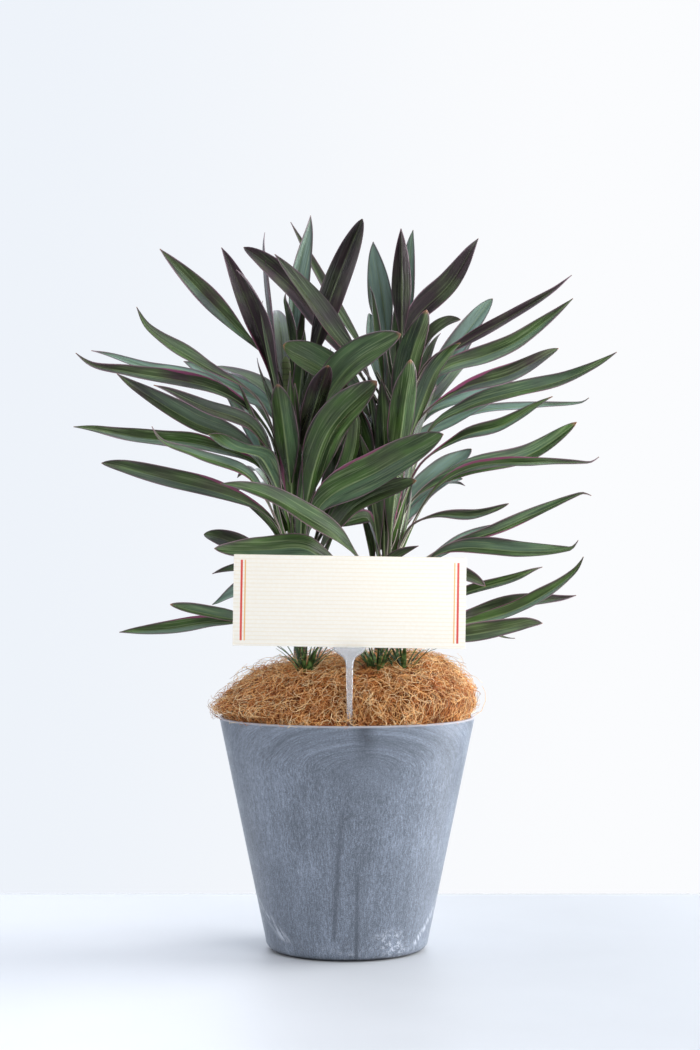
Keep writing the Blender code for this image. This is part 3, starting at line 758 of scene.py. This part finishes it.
def makeShootMaterial():
    # young grassy shoots: fresh to dark green, glossy, in tones that change every few millimetres; the dark
    # end is painted shade, for shoots that stand in shadow under the card and the leaves
    material, add = newMaterial("youngGreenShoots")
    coords = add("TexCoord").outputs["Object"]
    tone = add("TexNoise", coords, 160, 3)
    # painted shade: the ramp runs near black for the shadowed shoots
    body = add(("ValToRGB", {"ramp": [(0.35, "#182611"), (0.5, "#2f4a22"), (0.7, "#6f8f50")]}), tone)
    add("OutputMaterial", add("BsdfPrincipled", {"Base Color": body, "Roughness": 0.4, "IOR": 1.4}))
    return material


shootMaterial = makeShootMaterial()
for name, foot, spread, count in tuft["places"]:
    makeTuft("shootTuft_" + name, foot, spread, count)
print("shoots done")

caneBark = caneMaterial()
makeCane("left")
makeCane("right")
print("canes done")


# ---- planter

pot = {
    "height": 272 * mm, "topRadius": 150 * mm, "footRadius": 93 * mm,
    "wall": 5 * mm, "floor": 8 * mm, "footRound": 12 * mm, "rimRound": 1.6 * mm,
    "sides": 192, "wallSteps": 14,
    "innerEdge": 0.8 * mm, "innerLevels": (250 * mm, 200 * mm, 120 * mm, 60 * mm, 8 * mm),
    "grainRadius": 120 * mm,          # the streaks are spaced as on a cylinder of this radius
    "fanStart": 218 * mm,             # above this the streaks arch over from the front seam
    "fanPull": 0.85,                  # radians
    # soft lines on the wall: angle at the ground, slope in radians a metre, half width, low and high end
    "knitLines": ((-0.17, 0.75, 0.045, 0.025, 0.21), (0.115, -0.1, 0.04, -0.01, 0.13)),
    "scuffs": ((-0.56, -12, 0.17, 0.018, 0.075), (0.8, 10, 0.1, 0.012, 0.075), (0.66, -5, 0.3, -0.01, 0.042)),
}


def potRadius(height):
    return pot["footRadius"] + (pot["topRadius"] - pot["footRadius"]) * height / pot["height"]


def slantedMark(add, angle, height, start, slope, width, low, high):
    middle = add(timesPlus, height, slope, start)
    away = add(distance, add(minus, angle, middle))
    near = add(softRange, away, 0, width, 1, 0)
    over = add(softRange, height, low - 0.004, low + 0.006)
    under = add(softRange, height, high * 0.6, high, 1, 0)
    return add(times, near, add(times, over, under))


def potMaterial():
    # stone-filled recycled plastic, moulded: flow streaks in cool greys, satin, scuffed at the foot
    material, add = newMaterial("mouldedStonePlastic")
    coords = add("TexCoord").outputs["Object"]
    split = add("SeparateXYZ", coords)
    height = split.outputs["Z"]
    front = add(times, split.outputs["Y"], -1)
    angle = add(("Math", {"operation": "ARCTAN2"}), split.outputs["X"], front)
    wobble = add("TexNoise", coords, 26, 1)
    wobbled = add("MapRange", wobble, 0.3, 0.7, -0.155, -0.125)
    centred = add(plus, angle, wobbled)
    away = add(distance, centred)
    handed = add(("Math", {"operation": "SIGN"}), centred)

    # the melt entered at the front of the rim: streaks arch over from there and run down the wall
    climb = add("MapRange", height, pot["fanStart"], pot["height"])
    facing = add("MapRange", add(cosine, away), -1, 0.6)
    pull = add(times, add(times, climb, facing), pot["fanPull"])
    square = add(timesPlus, away, away, add(times, pull, pull))
    arched = add(("Math", {"operation": "SQRT"}), square)
    turned = add(times, arched, handed)
    east = add(times, add(sine, turned), pot["grainRadius"])
    north = add(times, add(cosine, turned), pot["grainRadius"])
    flow = add("CombineXYZ", east, north, height)

    # fine streaks 1.3 mm wide and 6 mm long, middling ones 7 mm wide and 70 mm long, clouds 45 mm across
    fineMap = add("Mapping", {"Vector": flow, "Scale": (750, 750, 170)})
    fine = add("TexNoise", fineMap, 1, 3, 0.65)
    broadMap = add("Mapping", {"Vector": flow, "Scale": (150, 150, 14)})
    broad = add("TexNoise", broadMap, 1, 4, 0.6)
    cloud = add("TexNoise", flow, 22, 3)
    # stone grains: real ones are 0.3 mm across, drawn at 0.8 mm to show
    grain = add("TexNoise", coords, 1200, 2)
    archShare = add("MapRange", pull, 0.1, 0.9, 0.3, 0.6)
    fineShare = add("MapRange", pull, 0.1, 0.7, 0.8, 0.5)
    fineShade = add(minus, fine, 0.5)
    broadShare = add(minus, broad, 0.5)
    # where the arches are tight, under the inlet, the streaks blur together
    clear = add(softRange, arched, 0.08, 0.4, 0.4)
    low = add("MapRange", height, pot["fanStart"] - 30 * mm, pot["fanStart"] - 8 * mm, 1, 0)
    clear = add(larger, clear, low)
    archShare = add(times, archShare, clear)
    fineShare = add(times, fineShare, clear)
    shade = add(timesPlus, broadShare, archShare, 0.5)
    shade = add(timesPlus, fineShade, fineShare, shade)
    for noise, amount in ((cloud, 0.3), (grain, 0.95)):
        shade = add(plus, shade, add("MapRange", noise, 0, 1, -amount / 2, amount / 2))
    greys = [(0.1, "#42484f"), (0.42, "#656d79"), (0.6, "#7e8795"), (0.9, "#abb7ca")]
    body = add(("ValToRGB", {"ramp": greys}), shade)

    # dark knit lines: the fan's own, and two thin ones that run down to the foot
    seamShare = add(times, add(softRange, away, 0, 0.13, 0.75, 0), climb)
    leftKnit, rightKnit = (slantedMark(add, angle, height, *line) for line in pot["knitLines"])
    dark = add(larger, add(times, add(larger, leftKnit, rightKnit), 0.5), seamShare)
    body = add(blend, dark, body, "#343841")

    # chalky scuffs: a sheaf of strokes low on the left, one stroke low on the right, a rubbed
    # patch between them, and odd ones all round the foot
    strokeMap = add(timesPlus, height, 8, angle)
    strokePlace = add("CombineXYZ", strokeMap, height, split.outputs["Y"])
    strokeMap = add("Mapping", {"Vector": strokePlace, "Scale": (26, 60, 14)})
    strokes = add("TexNoise", strokeMap, 1, 5, 0.7)
    strokes = add(softRange, strokes, 0.44, 0.6)
    speckle = add("TexNoise", coords, 240, 5, 0.7)
    speckle = add(softRange, speckle, 0.48, 0.62)
    leftSheaf, rightStroke, patch = (slantedMark(add, angle, height, *scuff) for scuff in pot["scuffs"])
    low = add(softRange, height, 0, 0.035, 0.45, 0)
    rubbed = add(times, low, speckle)
    chalk = add(times, leftSheaf, strokes)
    for mark, pattern in ((rightStroke, strokes), (patch, speckle), (rubbed, strokes)):
        chalk = add(larger, chalk, add(times, mark, pattern))
    body = add(blend, add(times, chalk, 0.9), body, "#c3c9d5")

    # the lip is painted pale, a painted highlight on its rounded edge, and the underside of the foot is
    # painted dark, painted shade where it curves under towards the floor
    # painted highlight along the rim's rounded edge
    lip = add(softRange, height, pot["height"] - 2.6 * mm, pot["height"] - 1.4 * mm, 0, 0.8)
    body = add(blend, lip, body, "#aeacb2")
    # painted shade under the foot's rounded edge
    footShade = add(softRange, height, 0.5 * mm, 4.5 * mm, 0.85, 0)
    body = add(blend, footShade, body, "#1d1e22")

    rough = add("MapRange", shade, 0.2, 0.8, 0.42, 0.3)
    bump = add("Bump", {"Height": fine, "Strength": 0.2, "Distance": 0.25 * mm})
    shader = add("BsdfPrincipled", {"Base Color": body, "Roughness": rough, "IOR": 1.5, "Normal": bump})
    add("OutputMaterial", shader)
    return material


def makePot():
    height, wall, lip = pot["height"], pot["wall"], pot["rimRound"]
    rings = []
    for step in range(7):
        turn = radians(90 * step / 6)
        rings.append((potRadius(pot["footRound"]) - pot["footRound"] * (1 - sin(turn)),
                      (0, 0, pot["footRound"] * (1 - cos(turn)))))
    span = height - lip - pot["footRound"]
    for step in range(1, pot["wallSteps"] + 1):
        level = pot["footRound"] + span * step / pot["wallSteps"]
        rings.append((potRadius(level), (0, 0, level)))
    for step in range(1, 4):
        turn = radians(90 * step / 3)
        rings.append((pot["topRadius"] - lip * (1 - cos(turn)), (0, 0, height - lip * (1 - sin(turn)))))
    rings.append((pot["topRadius"] - wall + pot["innerEdge"], (0, 0, height)))
    rings.append((pot["topRadius"] - wall, (0, 0, height - pot["innerEdge"])))
    for level in pot["innerLevels"]:
        rings.append((potRadius(level) - wall, (0, 0, level)))
    obj = extrudeRings("planterShell", pot["sides"], rings)
    return finishPiece(obj, ["planter_pot"], angle=40, material=potMaterial())


makePot()
print("planter done")


# ---- soil, which keeps its CAD node

def soilMaterial():
    # bark-rich potting compost: dark crumbs 2 to 6 mm across
    material, add = newMaterial("crumblyPottingSoil")
    coords = add("TexCoord").outputs["Object"]
    crumb = add("TexVoronoi", coords, 260)
    noise = add("TexNoise", coords, 90, 6)
    body = add(("ValToRGB", {"ramp": [(0.3, "#1e1611"), (0.55, "#3a2a1e"), (0.75, "#5a4430")]}), noise)
    bump = add("Bump", {"Height": crumb, "Strength": 0.8, "Distance": 1.5 * mm})
    add("OutputMaterial", add("BsdfPrincipled", {"Base Color": body, "Roughness": 0.95, "Normal": bump}))
    return material


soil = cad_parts["potting_soil"]
soil.data.materials.clear()
soil.data.materials.append(soilMaterial())
print("soil done")


# ---- coir mound and its strands

coir = {
    # radius and height down the side of the mound, in mm, and how far the front is pulled in
    "side": ((0, 338), (45, 337), (79, 334), (107, 327), (126, 314), (139, 300), (146.5, 288),
             (147, 280), (143, 273), (139, 266)),
    "under": ((20, 228), (137, 228), (139, 250)),  # its flat underside, the same way
    "rings": 22, "sides": 96,
    "frontDip": 0.13, "dipSpread": 0.5, "dipFrom": 266 * mm, "dipFull": 288 * mm,
    "rim": 278 * mm, "rimInside": 144.5 * mm,
    "tiltLeft": 0.07, "tiltRight": 0.1,  # the mound stands higher on its right
    "bed": 4 * mm,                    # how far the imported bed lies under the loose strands
    "pieces": 3, "strands": 3500, "points": 7, "brightShare": 0.3,
    "thickness": 0.27 * mm, "stepLength": (3 * mm, 7 * mm),
    "widest": 148 * mm, "topRoom": 12 * mm, "edgeRoom": 3 * mm,  # how near the strands come to both ends
}


def measureMound():
    side = [(r * mm, z * mm) for r, z in coir["side"]]
    lengths = [0.0]
    for (r0, z0), (r1, z1) in zip(side, side[1:]):
        lengths.append(lengths[-1] + hypot(r1 - r0, z1 - z0))
    return side, lengths


moundSide, moundLengths = measureMound()


def moundAt(down, angle, lift=0.0):
    # down is metres along the surface from the top; angle 0 is the front
    down = min(max(down, 0.0), moundLengths[-1])
    spot = max(n for n in range(len(moundSide) - 1) if moundLengths[n] <= down)
    (r0, z0), (r1, z1) = moundSide[spot], moundSide[spot + 1]
    t = (down - moundLengths[spot]) / (moundLengths[spot + 1] - moundLengths[spot])
    radius, height = r0 + (r1 - r0) * t, z0 + (z1 - z0) * t
    full = smooth((height - coir["dipFrom"]) / (coir["dipFull"] - coir["dipFrom"]))
    radius *= 1 - coir["frontDip"] * full * exp(-(angle / coir["dipSpread"]) ** 2)
    outward = Vector((sin(angle), -cos(angle), 0))
    steep = smooth(down / moundLengths[-1])
    normal = (outward * steep + Vector((0, 0, 1.05 - steep))).normalized()
    lump = (sin(5 * angle + 1.3) * sin(60 * down + angle) + sin(3 * angle - 42 * down)
            + 0.6 * sin(11 * angle + 90 * down))
    place = outward * radius + Vector((0, 0, height)) + normal * (lift + 1.5 * mm * lump * full)
    lean = coir["tiltRight"] * full if place.x > 0 else coir["tiltLeft"] * smooth((height - 0.28) / 0.035)
    place.z += lean * place.x
    return place


def coirMaterials():
    # loose coconut fibre, raked into a mound: golden brown strands over gaps that the bed below paints dark
    # as painted shade
    material, add = newMaterial("looseCoirStrands")
    tone = add(("Attribute", {"attribute_name": "strandTone"}))
    tones = [(0, "#6e3812"), (0.3, "#c47639"), (0.55, "#eb9e53"), (0.8, "#fbc67e"), (1, "#fee9bb")]
    body = add(("ValToRGB", {"ramp": tones}), tone.outputs["Fac"])
    coords = add("TexCoord").outputs["Object"]
    patch = add("TexNoise", coords, 28, 2)
    shade = add("MapRange", patch, 0.35, 0.65, 0, 0.35)
    body = add(blend, shade, body, "#8a4f26")
    add("OutputMaterial", add("BsdfPrincipled", {"Base Color": body, "Roughness": 0.6}))

    # the imported bed under them: the same fibre, drawn coarser so that it shows, painted near black in its
    # gaps as painted shade between the strands
    bed, add = newMaterial("packedCoirBed")
    coords = add("TexCoord").outputs["Object"]
    warp = add("TexNoise", coords, 60, 2)
    swirl = add("Mapping", {"Vector": warp.outputs["Color"], "Scale": (6, 6, 6)})
    thread = add("TexNoise", swirl, 5, 6, 0.7)
    # near black in the gaps: painted shade between the strands
    body = add(("ValToRGB", {"ramp": [(0.3, "#30180a"), (0.5, "#6c3b1a"), (0.7, "#b8763c")]}), thread)
    bump = add("Bump", {"Height": thread, "Strength": 1, "Distance": 2 * mm})
    add("OutputMaterial", add("BsdfPrincipled", {"Base Color": body, "Roughness": 0.9, "Normal": bump}))
    return material, bed


def makeMound(bedMaterial):
    # rings laid out flat by their distance from the top, then lifted onto the mound
    rings = [(radius * mm, (0, 0, level * mm)) for radius, level in coir["under"]]
    full, count, flatLevel = moundLengths[-1], coir["rings"], 300 * mm
    for step in range(count):
        rings.append((full * (1 - step / count), (0, 0, flatLevel + 0.1 * mm * step)))
    obj = extrudeRings("coirBed", coir["sides"], rings)
    for vertex in obj.data.vertices:
        if vertex.co.z > flatLevel - 10 * mm:
            down = hypot(vertex.co.x, vertex.co.y)
            angle = atan2(vertex.co.x, -vertex.co.y)
            vertex.co = moundAt(down, angle, -coir["bed"])
    applyModifier(obj, "SUBSURF", levels=1, render_levels=1)
    clouds = bpy.data.textures.new("coirLumps", "CLOUDS")
    clouds.noise_scale = 12 * mm
    applyModifier(obj, "DISPLACE", texture=clouds, texture_coords="LOCAL", strength=3 * mm, mid_level=0.6)
    return finishPiece(obj, ["coir_mulch"], angle=80, material=bedMaterial)


def makeStrands(name, seed, material):
    rng = random.Random(seed)
    curve = bpy.data.curves.new(name, "CURVE")
    curve.dimensions = "3D"
    curve.bevel_depth = coir["thickness"]
    curve.bevel_resolution = 0
    tones = []
    for number in range(coir["strands"]):
        down = rng.uniform(0.01, moundLengths[-1])
        while rng.random() > moundAt(down, pi).y / coir["widest"]:
            down = rng.uniform(0.01, moundLengths[-1])
        angle = rng.uniform(-pi, pi)
        heading = rng.uniform(0, tau)
        bright = rng.random() < coir["brightShare"]
        curl = rng.gauss(0, 0.9 if bright else 0.65)
        step = rng.uniform(*coir["stepLength"])
        loose = rng.random() if sin(angle) > -0.3 else rng.random() ** 1.5
        base = rng.uniform(-4, 0) * mm
        crest = rng.uniform(2, 8) * mm if bright else rng.uniform(-1, 4) * mm
        end = rng.uniform(7, 19) * mm if loose < 0.05 else rng.uniform(-3, 2) * mm
        stout = rng.uniform(0.8, 1.3) if bright else rng.uniform(0.7, 1.2)
        spline = curve.splines.new("POLY")
        spline.points.add(coir["points"] - 1)
        for n in range(coir["points"]):
            t = n / (coir["points"] - 1)
            lift = base + (end - base) * t + (crest - base) * sin(pi * t)
            place = moundAt(down, angle, lift)
            wide = hypot(place.x, place.y)
            if place.z < coir["rim"] and wide > coir["rimInside"] and loose > 0.03:
                place.x *= coir["rimInside"] / wide
                place.y *= coir["rimInside"] / wide
            spline.points[n].co = (*place, 1)
            spline.points[n].radius = stout * (1 - 0.5 * t * t)
            heading += curl + rng.gauss(0, 0.5)
            down += step * cos(heading)
            kept = min(max(down, coir["topRoom"]), moundLengths[-1] - coir["edgeRoom"])
            if kept != down:
                heading, down = pi - heading, kept
            angle += step * sin(heading) / max(moundAt(down, pi).y, 0.02)
        tones.append(rng.uniform(0.72, 1) if bright else min(max(rng.gauss(0.34, 0.24), 0), 1))
    obj = bpy.data.objects.new(name, curve)
    bpy.context.collection.objects.link(obj)
    selectOnly(obj)
    bpy.ops.object.convert(target="MESH")
    obj = bpy.context.object
    each = len(obj.data.vertices) // coir["strands"]
    marks = obj.data.attributes.new("strandTone", "FLOAT", "POINT")
    marks.data.foreach_set("value", [tones[n // each] for n in range(len(obj.data.vertices))])
    obj.data.materials.clear()
    obj.data.materials.append(material)
    return finishPiece(obj, angle=80)


strandMaterial, bedMaterial = coirMaterials()
makeMound(bedMaterial)
for number in range(coir["pieces"]):
    makeStrands(f"coirStrands_{number + 1}", 40 + number, strandMaterial)
print("coir done")


# ---- message card and its stake

card = {
    "width": 260 * mm, "height": 102 * mm, "thickness": 1 * mm,
    "centre": (3 * mm, -133 * mm, 410 * mm), "roll": 0.9,
    "ribPitch": 4.5 * mm,
    # the rules by each end: distance from the end, half width, colour
    "rules": ((9 * mm, 1.2 * mm, "#dc4f45"), (13 * mm, 0.7 * mm, "#eebb72")),
    "ruleEnd": 6 * mm,                # how far they stop from the long edges
}

stake = {
    "low": 262 * mm,
    # radius and height up the outside, in mm
    "outside": ((3.2, 300), (3.8, 336), (4.5, 341), (5.5, 344.5), (7.4, 347.5), (10.8, 350),
                (14.4, 352.5), (17.6, 356), (18.6, 359)),
    "wall": 1.1, "flatness": 0.42,
}


def cardMaterial():
    # coated card, printed and faintly ribbed: cream, a red and a gold rule by each end
    material, add = newMaterial("ribbedCoatedCard")
    uv = add(("UVMap", {"uv_map": "UVMap"}))
    split = add("SeparateXYZ", uv)
    away = add(distance, split.outputs["X"])
    up = add(distance, split.outputs["Y"])
    halfWide, halfHigh = card["width"] / 2, card["height"] / 2
    fibre = add("TexNoise", uv, 300, 3)
    fibres = add("MapRange", fibre, 0.3, 0.7)
    paper = add(blend, fibres, "#faf3e5", "#fdf8ed")
    rib = add(sine, add(times, split.outputs["Y"], tau / card["ribPitch"]))
    line = add(softRange, rib, 0.35, 1, 0, 0.5)
    paper = add(blend, line, paper, "#f3e6cc")
    inside = add(("Math", {"operation": "LESS_THAN"}), up, halfHigh - card["ruleEnd"])
    body = paper
    for inset, half, ink in card["rules"]:
        near = add(("Math", {"operation": "COMPARE"}), away, halfWide - inset, half)
        body = add(blend, add(times, near, inside), body, ink)
    bump = add("Bump", {"Height": rib, "Strength": 0.25, "Distance": 0.15 * mm})
    add("OutputMaterial", add("BsdfPrincipled", {"Base Color": body, "Roughness": 0.5, "Normal": bump}))
    return material


def plasticMaterial():
    # clear polystyrene, injection moulded and handled: a soft milky clear, bright along its edges
    material, add = newMaterial("clearMouldedPolystyrene")
    coords = add("TexCoord").outputs["Object"]
    scratch = add("TexNoise", coords, 500, 2)
    rough = add("MapRange", scratch, 0, 1, 0.2, 0.3)
    shader = add("BsdfPrincipled", {"Base Color": "#f4f7fa", "Roughness": rough, "IOR": 1.5,
                                    "Transmission Weight": 0.75})
    add("OutputMaterial", shader)
    return material


def makeCard():
    selectOnly(None)
    size = (card["width"], card["thickness"], card["height"])
    bpy.ops.mesh.primitive_cube_add(size=1, location=(0, 0, 0), scale=size)
    obj = newest("cardSheet")
    bpy.ops.object.transform_apply()
    bpy.ops.object.mode_set(mode="EDIT")
    bpy.ops.mesh.select_all(action="SELECT")
    bpy.ops.mesh.bevel(offset=0.3 * mm, segments=2)
    bpy.ops.object.mode_set(mode="OBJECT")
    layer = obj.data.uv_layers.active
    for loop in obj.data.loops:
        co = obj.data.vertices[loop.vertex_index].co
        layer.data[loop.index].uv = (co.x, co.z)
    obj.rotation_euler.y = radians(card["roll"])
    obj.location = card["centre"]
    return finishPiece(obj, ["message_card"], angle=30, material=cardMaterial())


def makeStake():
    # a flat stem that opens like a wine glass under the card
    x, y = card["centre"][0], card["centre"][1]
    rings = [(2.4 * mm, (x, y, stake["low"])), (3.0 * mm, (x, y, stake["low"] + 4 * mm))]
    for radius, level in stake["outside"]:
        rings.append((radius * mm, (x, y, level * mm)))
    for radius, level in reversed(stake["outside"][1:]):
        rings.append(((radius - stake["wall"]) * mm, (x, y, (level + 0.3) * mm)))
    rings.append((0.4 * mm, (x, y, (stake["outside"][1][1] - 0.6) * mm)))
    obj = extrudeRings("stakeClip", 40, rings)
    for vertex in obj.data.vertices:
        vertex.co.y = y + (vertex.co.y - y) * stake["flatness"]
    return finishPiece(obj, ["card_stake"], angle=50, material=plasticMaterial())


makeCard()
makeStake()
print("card and stake done")
